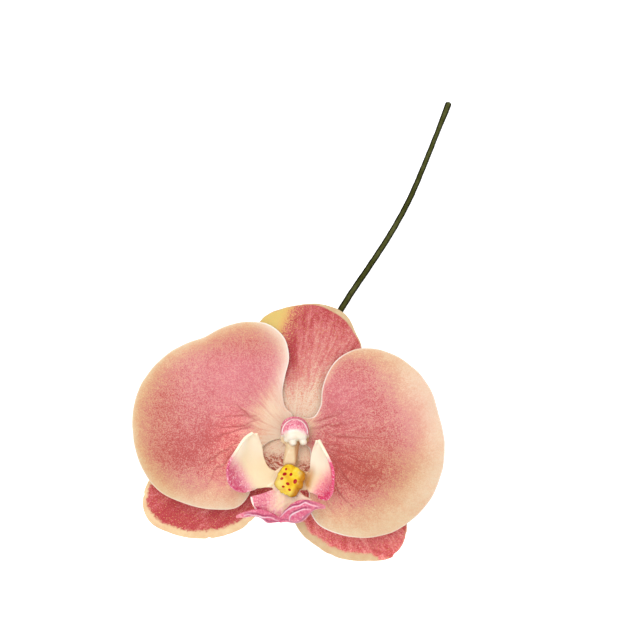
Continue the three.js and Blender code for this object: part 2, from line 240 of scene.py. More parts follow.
def make_floor():
    half = 1.5
    corners = [(-half, -half, 0), (half, -half, 0), (half, half, 0), (-half, half, 0)]
    mesh = bpy.data.meshes.new("floor")
    mesh.from_pydata(corners, [], [(0, 1, 2, 3)])
    mesh.materials.append(floor_material())
    add_object("floor", mesh)


# Shape helpers

def ease(value, low_end, high_end):
    """0 at the low end, 1 at the high end, with a soft start and stop."""
    t = np.clip((value - low_end) / (high_end - low_end), 0, 1)
    return t * t * (3 - 2 * t)


def turns(count):
    return np.linspace(0, 2 * math.pi, count, endpoint=False)


def unit(vectors):
    return vectors / np.linalg.norm(vectors, axis=-1, keepdims=True)


def run_of(line):
    """How far along the line each of its points lies."""
    return np.concatenate([[0], np.cumsum(np.linalg.norm(np.diff(line, axis=0), axis=1))])


def points_at(line, spots):
    run = run_of(line)
    return np.stack([np.interp(spots, run, line[:, axis]) for axis in range(line.shape[1])], axis=1)


def from_heart(x, y):
    return np.hypot(x - HEART[0], y - HEART[1])


def spline(points, count, closed=False):
    """Evenly spaced points on the centripetal curve through the given ones."""
    points = np.array(points, float)
    if closed:
        ends = np.vstack([points[-1], points, points[0], points[1]])
    else:
        ends = np.vstack([2 * points[0] - points[1], points, 2 * points[-1] - points[-2]])
    fine = []
    t = np.linspace(0, 1, 40, endpoint=False)[:, None]
    for p0, p1, p2, p3 in zip(ends, ends[1:], ends[2:], ends[3:]):
        d0, d1, d2 = (np.linalg.norm(b - a) ** 0.5 for a, b in ((p0, p1), (p1, p2), (p2, p3)))
        start = d1 * ((p1 - p0) / d0 - (p2 - p0) / (d0 + d1) + (p2 - p1) / d1)
        end = d1 * ((p2 - p1) / d1 - (p3 - p1) / (d1 + d2) + (p3 - p2) / d2)
        fine.append(
            (2 * t**3 - 3 * t**2 + 1) * p1 + (t**3 - 2 * t**2 + t) * start
            + (3 * t**2 - 2 * t**3) * p2 + (t**3 - t**2) * end
        )
    fine.append(points[:1] if closed else points[-1:])
    fine = np.vstack(fine)
    return points_at(fine, np.linspace(0, run_of(fine)[-1], count, endpoint=not closed))


def counterclockwise(loop):
    after = np.roll(loop, -1, axis=0)
    area = np.sum(loop[:, 0] * after[:, 1] - after[:, 0] * loop[:, 1])
    return loop if area > 0 else loop[::-1]


def ripple(x, y, wavelength, seed, waves=7):
    """Soft seeded undulation between about -1 and 1."""
    draw = np.random.default_rng(seed)
    total = np.zeros_like(x)
    for _ in range(waves):
        turn = draw.uniform(0, 2 * math.pi)
        length = wavelength * draw.uniform(0.7, 1.5)
        phase = draw.uniform(0, 2 * math.pi)
        total += np.sin(2 * math.pi * (x * math.cos(turn) + y * math.sin(turn)) / length + phase)
    return total / waves ** 0.5 / 1.2


def blob(x, y, px, py, long, wide, turn=0):
    """A soft spot, of dusting powder or of painted light or shade: 1 at its middle, 0 well outside it."""
    c, s = math.cos(math.radians(turn)), math.sin(math.radians(turn))
    a = ((x - px) * c + (y - py) * s) / long
    b = (-(x - px) * s + (y - py) * c) / wide
    return np.exp(-(a * a + b * b))


def dabs(x, y, rows):
    """The sum of spots, each given as its strength and then as blob takes it."""
    return sum(strength * blob(x, y, *spot) for strength, *spot in rows)


def creased(x, y, lines, width):
    """1 on the given lines, 0 beside them, fading out at both ends of each."""
    total = np.zeros_like(x)
    x, y = x + 0.25 * ripple(x, y, 4, 81), y + 0.25 * ripple(x, y, 4, 82)
    for line in lines:
        points = spline(line, 48)
        fade = np.sin(np.linspace(0.12, 0.95, len(points)) * math.pi) ** 0.6
        for (px, py), strength in zip(points, fade):
            total = np.maximum(total, strength * np.exp(-((x - px) ** 2 + (y - py) ** 2) / width**2))
    return total


def past_line(x, y, start, end):
    """Signed distance to the right of a line that runs from start to end."""
    along = np.array(end, float) - np.array(start, float)
    along /= np.linalg.norm(along)
    return (x - start[0]) * along[1] - (y - start[1]) * along[0]


def make_piece(name, vertices, faces, material, values):
    """vertices are in plan millimetres. The piece rides on the object's one body."""
    mesh = bpy.data.meshes.new(name + "_look")
    mesh.from_pydata(((vertices + SHIFT) * MM).tolist(), [], faces)
    mesh.validate()
    mesh.polygons.foreach_set("use_smooth", [True] * len(mesh.polygons))
    for key, numbers in values.items():
        layer = mesh.attributes.new(key, "FLOAT", "POINT")
        layer.data.foreach_set("value", np.asarray(numbers, np.float32))
    mesh.materials.append(material)
    piece = add_object(name + "_look", mesh)
    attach(piece, "root")
    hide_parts(name)


# Tepals: petals and sepals share one way of building

MARGIN = 2.0                      # the rings are set closer from here outward
MARGIN_STEPS = (1.6, 1.25, 0.95, 0.7, 0.5, 0.34, 0.22, 0.12, 0.05, 0.015, 0)
RIM = 0.45                        # width of the rounded rim


def tepal(name, outline, middle, height, ragged, dust, material, rings, count):
    """A thin closed blade, built as rings of count points round its middle."""
    edge = counterclockwise(spline(outline, count, closed=True))
    middle = np.array(middle, float)
    arm = edge - middle
    reach = np.linalg.norm(arm, axis=1)
    arm *= (1 + ragged(edge[:, 0], edge[:, 1]) / reach)[:, None]
    reach = np.linalg.norm(arm, axis=1)

    inner = [(k / rings) ** 0.85 * (1 - MARGIN / reach) for k in range(1, rings + 1)]
    outer = [1 - step / reach for step in MARGIN_STEPS]
    shares = np.array(inner + outer)
    x, y = np.vstack([middle, (middle + shares[:, :, None] * arm).reshape(-1, 2)]).T
    u = np.concatenate([[0], shares.ravel()])
    depth = np.concatenate([[reach.mean()], ((1 - shares) * reach).ravel()])

    thick = BLADE_THICKNESS + (EDGE_THICKNESS - BLADE_THICKNESS) * u**3
    rim = np.clip(1 - depth / RIM, 0, 1)
    half = 0.5 * thick * np.sqrt(np.clip(1 - rim**2, 0, 1))
    centre = np.maximum(height(x, y, u), thick / 2)
    top, bottom = (np.stack([x, y, centre + lift], axis=1) for lift in (half, -half))

    # Both faces share the outermost ring.
    shared = 1 + (len(shares) - 1) * count
    ring = [(a, (a + 1) % count) for a in range(count)]
    faces = [(0, 1 + a, 1 + b) for a, b in ring]
    for near in range(1, shared, count):
        far = near + count
        faces += [(near + a, far + a, far + b, near + b) for a, b in ring]
    lower = [tuple(v + len(top) if v < shared else v for v in reversed(face)) for face in faces]

    values = {
        "angle": np.arctan2(y - HEART[1], x - HEART[0]),
        "reach": from_heart(x, y),
        "front": np.ones(len(top)),
        **dust(x, y, depth),
    }
    values = {key: np.concatenate([numbers, numbers[:shared]]) for key, numbers in values.items()}
    values["front"][len(top):] = 0.0
    make_piece(name, np.vstack([top, bottom[:shared]]), faces + lower, material, values)


# Petals

PETAL_LEFT_OUTLINE = [
    (-2.1, 2.8), (-2.2, 7.4), (-4.1, 9.5), (-5, 13.3), (-4.2, 18.8), (-3.1, 24), (-4.7, 29.9),
    (-9.3, 33.6), (-15.4, 34.4), (-21.5, 33.1), (-27.9, 29.9), (-34.8, 27.3), (-41.1, 22.8), (-45.9, 16.7),
    (-48.3, 9.5), (-48.5, 2), (-46.5, -6.8), (-41.6, -14.3), (-33.7, -18.4), (-25.3, -20.1),
    (-18.3, -19.5), (-14.8, -15.8), (-13.1, -9.4), (-11.3, -2.4), (-7.3, 0.2), (-3.8, 0.8),
]
PETAL_RIGHT_OUTLINE = [
    (-1.2, 2.8), (-1.1, 6.9), (0.9, 6.6), (3.8, 6.8), (5.8, 9.8), (6.5, 15.3), (8.4, 20.3), (11.9, 24.3),
    (16.8, 26.4), (22.4, 26.4), (28.2, 24.3), (33.7, 20.3), (37.8, 15), (40.1, 8.1), (41.8, 0.5),
    (41.4, -8.2), (38.4, -16.4), (33.4, -22.5), (26.7, -26.8), (19.2, -28.3), (11.6, -27.4), (5.5, -24.6),
    (3, -20.7), (2.6, -14.6), (2.9, -8.2), (2.6, -2.4), (0.2, -0.4),
]
PETAL_RISE = 1.8
PETAL_EDGE_FALL = 4.6
PETAL_LEFT_CREASES = [
    [(-17.9, -2), (-20.7, -5), (-22.7, -7), (-25, -9.6), (-26.8, -13.1)],
    [(-12.7, 5.7), (-17.3, 4.2), (-21.6, 4), (-25.9, 4.2)],
    [(-13.2, 5.6), (-16.1, 8.6), (-18.9, 10.5)],
    [(-14, 4.4), (-19.6, 2.5), (-24.5, 1.1)],
    [(-13, 7), (-17.3, 7.4), (-22.6, 6.5)],
    [(-18, -0.6), (-22.2, -3), (-28.6, -7.4)],
]
PETAL_RIGHT_CREASES = [
    [(8.5, 1.8), (11.8, 1.1), (17.9, 0.8), (21.3, 0.6)],
    [(9.3, -2.3), (12.6, -3.5), (15.1, -4.8), (19.2, -6.2), (21.7, -9.3)],
    [(8.9, -5.6), (12.2, -6.8), (15.9, -8.9), (20.8, -10.5)],
    [(9.3, -6), (11.8, -8.5), (13.8, -11.4), (17.1, -14.7)],
    [(9.7, -12.6), (11.8, -15.5), (13.8, -18), (15.9, -19.4)],
    [(4.2, 5.4), (8.7, 6.8), (13, 8.3)],
    [(3.4, 3.4), (8.4, 4.4), (13.6, 4.4)],
]


def petal_height(middle, phase, seed, creases):
    def height(x, y, u):
        reach = from_heart(x, y)
        turn = np.arctan2(y - HEART[1], x - HEART[0])
        angle = np.arctan2(y - middle[1], x - middle[0])
        free = ease(reach, 8, 34)
        wave = 0.7 * np.sin(4 * angle + phase) * u**3
        frill = 0.16 * np.sin(13 * angle + seed) * u**8
        pleats = 0.18 * np.sin(26 * turn + seed) * ease(reach, 7, 14)
        pleats *= 1 - ease(reach, 18, 40)
        soft = 0.28 * ripple(x, y, 16, seed) * ease(reach, 8, 20)
        folds = -0.07 * creased(x, y, creases, 0.4) * ease(reach, 7, 11)
        return (
            PETAL_LEVEL + PETAL_RISE * ease(reach, 6.5, 24)
            - PETAL_EDGE_FALL * u * u * free + (wave + frill) * free + pleats + soft + folds
        )
    return height


def petal_edge(x, y):
    return 0.05 * ripple(x, y, 5, 41)


# Where the dusting brush dabbed, and in the second list where painted light lightens the left petal's shade:
# strength, x, y, length, width and turn
LEFT_ROSE = [(0.2, -28, 0, 9, 4.5, 27), (0.08, -34, -4, 9, 6, 15), (0.05, -20, 23, 9, 4)]
LEFT_PAINTED_LIGHT = [(0.9, -19.5, 1, 5, 7), (0.5, -22, -9, 7, 7)]
RIGHT_ROSE_BELOW = [(0.42, 17, 22, 10, 5.5, -15), (0.08, 8, 15, 4, 6)]
RIGHT_ROSE_ABOVE = [
    (0.16, 15, -7, 10, 4.5, -32), (0.12, 12, 18, 6, 9), (0.1, 19, -11, 6, 4), (-0.12, 22, -4, 5, 2.6, -10),
]
RIGHT_COOL = [(0.8, 12, 12, 8, 8), (0.6, 33, 6, 6, 9)]


def left_petal_dust(x, y, depth):
    toward_dorsal = ease(x, -15, -7) * ease(y, 12, 20)
    inside = np.maximum(depth - 0.8 * toward_dorsal, 0)
    blend = 3.4 + 2.6 * ease(-y, 2, 14) - 1.0 * toward_dorsal
    rose = 0.8 * (1 - np.exp(-inside / blend))
    heart_side = -13.0 + 0.9 * np.maximum(0, y - 9)
    rose *= 1 - 0.85 * ease(x, heart_side - 4.5, heart_side + 4.5)
    rim = 1 - ease(depth, 0.1, 0.5)
    return {
        "rose": rose + dabs(x, y, LEFT_ROSE),
        # The undusted margin toward the dorsal, and a painted highlight along the rim.
        "pale": rim * (0.35 + 0.6 * toward_dorsal) + 0.5 * toward_dorsal * np.exp(-depth / 2.6),
        # A tan tone toward the edges, and painted shade on the left where the petal curves away from the
        # light.
        "tan": 0.9 * ease(-x, 30, 44) + 0.25 * ease(-y, -2, 9) + 0.8 * ease(y, 21, 30),
        "cool": blob(x, y, -17, 17, 15, 12) + 0.5 * toward_dorsal * np.exp(-depth / 5),
        # A cream patch near the heart, painted lighter against the shade there.
        "glow": blob(x, y, -9, 8, 4.5, 4.5),
        # Painted shade along the creases.
        "crease": creased(x, y, PETAL_LEFT_CREASES, 0.27),
        # Painted light on the shade where the petal slopes down into the heart.
        "lift": dabs(x, y, LEFT_PAINTED_LIGHT),
    }


def right_petal_dust(x, y, depth):
    toward_left = ease(-x, -30, -10)
    rose = 0.08 + 0.74 * (1 - ease(np.hypot(x - 14, y), 11, 27.5)) + dabs(x, y, RIGHT_ROSE_BELOW)
    rose *= 1 - 0.6 * np.exp(-depth / 1.1) * toward_left
    rose += dabs(x, y, RIGHT_ROSE_ABOVE) + 0.1 * ease(-y, 12, 18) * blob(x, y, 14, -20, 16, 7)
    rim = 1 - ease(depth, 0.1, 0.5)
    return {
        "rose": rose * (1 - 0.75 * blob(x, y, 1.5, 4, 3.2, 3.6)),
        # A paler rim with a painted highlight along it, strongest on the edge toward the left petal.
        "pale": rim * (0.35 + 0.65 * ease(-x, -18, -10)),
        # Darker and warmer in the lower middle and toward both ends.
        "tan": 1.2 * blob(x, y, 23, -9, 13, 9) + 0.6 * ease(-y, 12, 26) + 0.5 * ease(y, 17, 25),
        "cool": dabs(x, y, RIGHT_COOL),
        # A small cream patch by the heart, painted lighter against the shade there.
        "glow": blob(x, y, 2, 4.6, 2.5, 2),
        # Painted shade along the creases.
        "crease": creased(x, y, PETAL_RIGHT_CREASES, 0.27),
        # Painted light on the shade that the lip's right lobe casts on the petal.
        "lift": 0.75 * blob(x, y, 9, -12, 5.5, 9),
    }


def petal_material():
    s = Shader("dusted_petal_light_and_shade")
    streak = s.noise(1, 5, 0.68, 0.25, s.along("angle", 15, "reach", 0.13))
    vein = s.noise(1, 2, 0.55, 0.3, s.along("angle", 60, "reach", 0.25))
    grain = s.noise(3200, 1, 0.7)
    speck = s.noise(1300, 2)
    patch = s.noise(420, distortion=0.3)
    cloud = s.noise(130, 5, 0.65)
    near = s.level(s.read("reach"), 34, 8)

    dust = s.read("rose")
    powder = s.sum(s.swing(grain, 2.1), s.swing(speck, 0.8), s.swing(patch, 0.5))
    rose = s.sum(
        dust,
        s.product(s.swing(streak, 1), s.scaled(near, 0.8, 0.18)),
        s.product(s.swing(vein, 0.6), s.scaled(near, 0.6, 0.1)),
        s.product(powder, s.scaled(dust, 0.8, 0.12, clamp=True)),
        s.swing(cloud, 0.4),
        # More rose along the creases: painted shade.
        s.scaled(s.read("crease"), 0.12),
        clamp=True,
    )
    colour = s.ramp(rose, [
        (0, 254, 228, 198), (0.13, 251, 215, 184), (0.3, 245, 194, 162), (0.47, 236, 174, 150),
        (0.6, 233, 160, 148), (0.73, 230, 146, 143), (0.87, 221, 124, 121), (1, 206, 98, 96),
    ])
    colour = s.tint(colour, "cool", 0.42, paint(248, 154, 168))
    # Tan tone, partly painted shade where the petals curve away from the light.
    colour = s.tint(colour, "tan", 1, (0.88, 0.84, 0.67, 1), "MULTIPLY")
    # A cream patch near the heart, lighter than the paste round it: partly painted light.
    glow = s.product(s.read("glow"), s.level(streak, 0.66, 0.38))
    colour = s.mix(s.scaled(glow, 0.55), colour, paint(255, 228, 188, 1.5))
    # Painted light: the colour is made lighter where the petals lie in shade.
    colour = s.tint(colour, "lift", 1, (1.42, 1.4, 1.4, 1), "MULTIPLY")
    # Darker along the creases: painted shade in the folds.
    colour = s.tint(colour, "crease", 0.6, paint(182, 82, 76))
    # Paler undusted margin, and a painted highlight along the rims.
    colour = s.tint(colour, "pale", 1, paint(255, 244, 232, 1.45))
    back = s.mix(s.scaled(rose, 0.45), paint(248, 214, 184), paint(238, 168, 150))
    height = s.sum(s.product(vein, near), s.scaled(grain, 0.3), s.scaled(speck, 0.2))
    colour = s.mix(s.read("front"), back, colour)
    return s.finish(colour, (cloud, 0.2, 0.5), (height, 0.00012, 0.7), specular=0.15, soft=(0.06, 0.0015))


# Sepals

DORSAL_OUTLINE = [
    (-3.2, 2.5), (-5.8, 7.7), (-9, 13.8), (-12.2, 20.2), (-14.3, 26.7), (-13.4, 31.9), (-10.2, 36),
    (-5.6, 38.1), (-0.6, 39.2), (4.9, 39.6), (10.2, 38.3), (13.9, 35.7), (16.1, 31.4), (17.9, 27),
    (16.6, 21.1), (13.1, 14.7), (9, 9.2), (5.2, 5.1), (2, 2.5),
]
SEPAL_LEFT_OUTLINE = [
    (-1.9, 0.5), (-1.9, -4.2), (-3, -9.1), (-5.3, -14.1), (-8.8, -18.5), (-12.7, -22.2), (-16.5, -26),
    (-21.2, -28.2), (-26.7, -29.4), (-32.6, -29.3), (-38.4, -27.8), (-43.7, -25.1), (-46.2, -20.4),
    (-45.8, -15.3), (-43.4, -10.6), (-38.4, -5.9), (-31.1, -2.1), (-22.9, 0.2), (-14.7, 1.4), (-7.4, 1.6),
]
SEPAL_RIGHT_OUTLINE = [
    (-1.3, 0.5), (-1.3, -4.2), (-1.6, -9.1), (-2, -14.1), (-2.5, -19.1), (-1.8, -23.8), (0.5, -28),
    (4.3, -31.3), (9, -34.3), (14.6, -35.9), (20.7, -36.1), (25.1, -35.7), (27, -35), (28.7, -33.2),
    (30.1, -31.2), (31.2, -27.8), (31.3, -23.8), (29.2, -18.5), (24.8, -13.2), (18.4, -8), (11.1, -3),
    (4.6, 0.2),
]
RIGHT_CORNER_FOLD = [[(20.4, -32.2), (23.4, -33.4), (26.4, -34.6)]]


def dorsal_height(x, y, u):
    reach = from_heart(x, y)
    ribs = 0.14 * np.cos(1.35 * x) * ease(reach, 8, 16) * (1 - u**4)
    soft = 0.25 * ripple(x, y, 17, 31) * ease(reach, 10, 26)
    return (
        SEPAL_LEVEL - 3.4 * ease(reach, 6, 40) - 1.0 * u**4 * ease(reach, 8, 30)
        + ribs + soft
    )


def lateral_height(length, seed, folds=()):
    def height(x, y, u):
        reach = from_heart(x, y)
        fall = SEPAL_LEVEL - EDGE_THICKNESS / 2
        soft = 0.25 * ripple(x, y, 15, seed) * ease(reach, 10, 26)
        fold = 0.3 * creased(x, y, folds, 0.9)
        return SEPAL_LEVEL - fall * ease(reach, 4, length) + soft + fold
    return height


def sepal_edge(seed, nick):
    """A cut edge with soft waves and a few small nicks."""
    def ragged(x, y):
        far = ease(from_heart(x, y), 18, 24)
        nicks = np.maximum(0, ripple(x, y, 3.6, seed) - 0.55)
        return (0.06 * ripple(x, y, 4, seed + 1) - nick * nicks) * far
    return ragged


def dorsal_dust(x, y, depth):
    rose = 0.1 + 0.66 * ease(y, 9, 26) + 0.12 * ease(y, 30, 36)
    pale_end = blob(x, y, 12, 37, 6, 4.5, -35)
    line = np.exp(-((depth - 0.55 - 1.1 * pale_end) / 0.18) ** 2)
    return {
        # The first dab deepens the rose where the left petal shades the dorsal: painted shadow.
        "rose": rose + dabs(x, y, [(0.32, -3, 27, 3, 10), (-0.1, 5.5, 26, 4, 7)]),
        "border": 0.25 + 1.3 * pale_end - depth,
        "gold": 1.1 * ease(-x - 0.4 * (37 - y), -4, 8) * ease(y, 24, 31),
        "spots": 0 * x,
        # A dark line along the top rim, and the left petal's painted shadow beside its edge.
        "crease": 0.7 * line * ease(y, 28, 33) + 0.5 * blob(x, y, -3.5, 26, 2.5, 8),
    }


def lateral_dust(wide, open_end, rose_level, spot_line, creases=()):
    """The undusted border is wide at the bottom and ends at open_end; spots start below spot_line."""
    def dust(x, y, depth):
        reach = from_heart(x, y)
        band = 1.3 + (wide - 1.3) * ease(-y, 19, 24)
        band = band * (1 - ease(x, open_end - 5, open_end))
        spotted = ease(spot_line - y, -0.8, 1.6) * (1 - ease(reach, 12, 16))
        return {
            "rose": rose_level * ease(reach, 11, 16) + 0.2 * spotted,
            "border": band - depth,
            "gold": 0 * x,
            "spots": spotted + 0.35 * ease(reach, 15, 17) * (1 - ease(reach, 20, 24)),
            # Painted shade along the folds.
            "crease": creased(x, y, creases, 0.5),
        }
    return dust


def sepal_material(light, border_light, raggedness=1):
    s = Shader("dusted_sepal_light_and_shade")
    streak = s.noise(1, 5, 0.7, 0.3, s.along("angle", 18, "reach", 0.1))
    dash = s.noise(1, 2, 0.55, 0.5, s.along("angle", 10, "reach", 1.9))
    grain = s.noise(3000, 1, 0.7)
    speck = s.noise(1200, 3, 0.6)
    cloud = s.noise(300, 4, 0.65)
    powder = s.sum(s.swing(grain, 1.9), s.swing(speck, 0.7))
    rose = s.sum(
        s.read("rose"), s.swing(streak, 1.2), s.swing(cloud, 0.25), s.scaled(powder, 0.62), clamp=True,
    )
    colour = s.ramp(rose, [
        (0, 252, 224, 196), (0.3, 246, 196, 172), (0.5, 237, 160, 148), (0.7, 227, 128, 126),
        (0.85, 213, 99, 102), (1, 190, 64, 70),
    ], light)
    spotted = s.product(s.level(dash, 0.44, 0.56), s.read("spots"))
    colour = s.mix(s.scaled(spotted, 0.9), colour, paint(176, 68, 52, light))
    # Darker along the folds, and on the dorsal where the left petal shades it: painted shade and shadow.
    colour = s.tint(colour, "crease", 0.6, paint(178, 54, 62, light))
    corner = s.read("gold")
    gold = s.sum(corner, s.swing(cloud, 0.6), s.product(s.swing(grain, 3), s.level(corner, 1.1, 0.4)))
    golden = s.ramp(corner, [(0.45, 236, 168, 124), (0.75, 240, 190, 116), (1, 236, 204, 118)], light)
    colour = s.mix(s.level(gold, 0.2, 0.85), colour, golden)
    border = s.sum(
        s.read("border"), s.swing(cloud, 1.6 * raggedness), s.swing(speck, 1.8 * raggedness),
    )
    cream = s.ramp(cloud, [(0.3, 246, 218, 172), (0.7, 233, 192, 147)], border_light)
    soft = 0.15 + 0.4 * raggedness
    colour = s.mix(s.level(border, -soft, soft), colour, cream)
    colour = s.mix(s.read("front"), paint(243, 205, 172, light), colour)
    height = s.sum(streak, s.scaled(grain, 0.3), s.scaled(speck, 0.4))
    return s.finish(colour, (cloud, 0.2, 0.5), (height, 0.00016, 0.8), specular=0.15, soft=(0.05, 0.0015))


# Fused pieces: closed parts are joined in one even skin, which can take over their paint

def skin_of(parts, voxel, passes):
    """Points and faces of one skin round parts that each start with their vertices and faces."""
    faces, start = [], 0
    for vertices, part_faces, *_ in parts:
        faces += [tuple(start + v for v in face) for face in part_faces]
        start += len(vertices)
    mesh = bpy.data.meshes.new("parts")
    mesh.from_pydata(np.vstack([part[0] for part in parts]).tolist(), [], faces)
    piece = add_object("parts", mesh)
    remesh = piece.modifiers.new("skin", "REMESH")
    remesh.mode = "VOXEL"
    remesh.voxel_size = voxel
    smooth = piece.modifiers.new("smooth", "SMOOTH")
    smooth.factor = 0.5
    smooth.iterations = passes
    skin = piece.evaluated_get(bpy.context.evaluated_depsgraph_get()).to_mesh()
    points = np.empty(len(skin.vertices) * 3)
    skin.vertices.foreach_get("co", points)
    skin_faces = [tuple(p.vertices) for p in skin.polygons]
    bpy.data.objects.remove(piece)
    bpy.data.meshes.remove(mesh)
    return points.reshape(-1, 3), skin_faces


def carried(parts, points):
    """The parts' painted values, carried over to the skin's points from the nearest four."""
    names = sorted(set().union(*(values for _, _, values in parts)))
    paints = np.vstack([
        np.array([values.get(name, np.zeros(len(vertices))) for name in names]).T
        for vertices, _, values in parts
    ])
    tree = KDTree(len(paints))
    for index, place in enumerate(np.vstack([part[0] for part in parts])):
        tree.insert(place, index)
    tree.balance()
    values = np.empty((len(points), len(names)))
    for index, point in enumerate(points):
        found = tree.find_n(point, 4)
        weight = np.array([1 / (distance + 0.05) for _, _, distance in found])
        values[index] = weight @ paints[[hit for _, hit, _ in found]] / weight.sum()
    return dict(zip(names, values.T))


def strip(inner, outer, bow, coat, relief=None, tip=0, along=80, across=30):
    """A thin closed body between two edge lines in space, bowed, and thinned over the tip share."""
    first, second = (spline(line, along + 1)[:, None] for line in (inner, outer))
    s, t = np.meshgrid(np.linspace(0, 1, along + 1), np.linspace(0, 1, across + 1), indexing="ij")
    points = first * (1 - t[..., None]) + second * t[..., None]
    points = points + np.array(bow) * (4 * t * (1 - t))[..., None]
    normal = np.cross(np.gradient(points, axis=0), np.gradient(points, axis=1))
    normal /= np.maximum(np.linalg.norm(normal, axis=2, keepdims=True), 1e-9)
    if relief is not None:
        points = points + normal * relief(s, t)[..., None]
    half = LIP_THICKNESS / 2 * np.clip((1.02 - s) / max(tip, 0.02), 0, 1)[..., None]
    vertices = np.stack([points + normal * half, points - normal * half]).reshape(-1, 3)

    row = across + 1
    last = along * row
    under = last + row
    faces = []
    for a in (i * row + j for i in range(along) for j in range(across)):
        faces.append((a, a + row, a + row + 1, a + 1))
        faces.append((under + a, under + a + 1, under + a + row + 1, under + a + row))
    rim = [*range(across), *range(across, last, row), *range(last + across, last, -1), *range(last, 0, -row)]
    faces += [(a, b, under + b, under + a) for a, b in zip(rim, rim[1:] + rim[:1])]
    return vertices, faces, coat(*vertices.T, np.tile(s.ravel(), 2), np.tile(t.ravel(), 2))


def shell(rings):
    """Vertices and faces of the closed body that rows of rings make."""
    rows, count = rings.shape[:2]
    faces = []
    for a in range(0, (rows - 1) * count, count):
        b = a + count
        faces += [(a + i, a + (i + 1) % count, b + (i + 1) % count, b + i) for i in range(count)]
    last = (rows - 1) * count
    faces += [tuple(range(count))[::-1], tuple(range(last, last + count))]
    return rings.reshape(-1, 3), faces


def painted(body, coat):
    vertices, faces = body
    return vertices, faces, coat(*vertices.T)


def stack(outline, levels, count=72):
    """A closed body of one outline, repeated at (height, inset) levels."""
    loop = counterclockwise(spline(outline, count, closed=True))
    middle = loop.mean(axis=0)
    arm = loop - middle
    reach = np.linalg.norm(arm, axis=1)
    return shell(np.stack([
        np.column_stack([middle + arm * (1 - inset / reach)[:, None], np.full(count, level)])
        for level, inset in levels
    ]))


def cord(points, **paints):
    """A thin round bar along points, thinning to both ends, all in one paint."""
    line = spline(points, 60)
    ahead = unit(np.gradient(line, axis=0))
    side = unit(np.cross(ahead, (0, 0, 1)))
    up = np.cross(side, ahead)
    size = FOLD_RADIUS * np.sin(np.linspace(0.06, math.pi - 0.06, len(line))) ** 0.5
    turn = turns(14)[None, :, None]
    around = np.cos(turn) * side[:, None] + np.sin(turn) * up[:, None]
    vertices, faces = shell(line[:, None] + size[:, None, None] * around)
    return vertices, faces, {key: np.full(len(vertices), value) for key, value in paints.items()}


def ball(x, y, z, radii):
    lift = np.linspace(-math.pi / 2 + 0.05, math.pi / 2 - 0.05, 18)[:, None]
    turn = turns(28)
    round_ball = [np.cos(lift) * np.cos(turn), np.cos(lift) * np.sin(turn), np.sin(lift) + 0 * turn]
    return shell(np.stack(round_ball, axis=2) * radii + (x, y, z))


# Lip: floor, two side lobes, middle lobe, and two curled flaps that end in tendrils

FLOOR_OUTLINE = [
    (-8.3, -12.9), (-8.3, -10.6), (-6.8, -8.3), (-4.8, -7.1), (-2.8, -6.9), (-0.5, -7.6), (1.5, -8.6),
    (3.2, -9.2), (3.5, -11.5), (2.4, -13.8), (-0.2, -14.3), (-2.8, -15.5), (-5.7, -14.6), (-8, -13.5),
]
LOBE_LEFT_INNER = [
    (-12.1, 2.5, 25), (-10.8, -0.9, 20.5), (-10.3, -4.5, 18), (-8.8, -7.6, 16.8), (-6.8, -8.9, 16.4),
    (-6.8, -11.2, 16.4), (-8.3, -13.2, 16.8),
]
LOBE_LEFT_OUTER = [
    (-13.2, 2.8, 25.5), (-15.4, 1.4, 27), (-17.7, -1.9, 27.5), (-20, -5.7, 26.5), (-20.6, -9.2, 25),
    (-19.3, -13, 22.5), (-16.5, -14.3, 20.5), (-13.7, -13.7, 19),
]
LOBE_RIGHT_INNER = [
    (4.7, 0.5, 25), (3.7, -2, 20.5), (3.2, -5.3, 18), (2.9, -8.3, 16.8), (1.8, -10.6, 16.4),
    (1.8, -12.6, 16.4), (2.6, -14.6, 16.8),
]
LOBE_RIGHT_OUTER = [
    (5.2, 0.8, 25.5), (6.6, -1.4, 27), (8.3, -4.5, 27.5), (9.5, -7.7, 26.5), (9.6, -11.2, 25),
    (9.2, -14.5, 22.5), (7.8, -16.5, 20.5), (5.2, -16, 19),
]
MIDDLE_BACK = [
    (-13.7, -15.8, 17.5), (-10.8, -15, 17), (-8, -14, 16.6), (-4.3, -12.9, 16.4), (-0.8, -13.7, 16.5),
    (1.2, -15.6, 16.8), (3.5, -16.6, 17.4),
]
MIDDLE_FRONT = [
    (-12.9, -19.5, 17), (-10.6, -21.5, 16.2), (-8.6, -23, 16), (-6, -22.3, 15.6), (-2.8, -23, 16),
    (0.1, -22.8, 16.2), (2.6, -20.6, 17),
]
FLAP_RIGHT_TOP = [
    (-5.8, -22, 16.4), (-3.9, -19.6, 18.6), (-1.9, -17.8, 20), (0.4, -16.8, 20.8), (2.9, -16.9, 20.8),
    (5.2, -17.5, 20.5), (7.5, -18.3, 20),
]
FLAP_RIGHT_LOW = [
    (-5.6, -22.6, 15.8), (-3.7, -22.8, 16), (-1.4, -23.3, 16.4), (0.9, -22.6, 17.2), (2.6, -20.8, 18.4),
    (4.4, -18.9, 19.4), (7.4, -18.4, 19.9),
]
FLAP_RIGHT_LOOP = [
    (-2.5, -22.4, 17.4), (-2.5, -20.6, 18.8), (-1.1, -19.3, 20), (0.7, -18.5, 20.8), (2.7, -18.1, 21),
    (4.3, -18.1, 20.8),
]
FLAP_LEFT_TOP = [
    (-5.8, -22, 16.4), (-7.7, -20.9, 17.6), (-9.7, -19.9, 18.8), (-11.9, -19.6, 19.3), (-14.2, -19.9, 19),
    (-16.3, -20.5, 18.6), (-18.3, -21.3, 18),
]
FLAP_LEFT_LOW = [
    (-6.1, -22.6, 15.8), (-7.7, -23.1, 16), (-9.1, -23.3, 16.2), (-11.1, -21.7, 17.2), (-13.1, -20.9, 18),
    (-15.7, -21.2, 18), (-18.3, -21.4, 17.8),
]
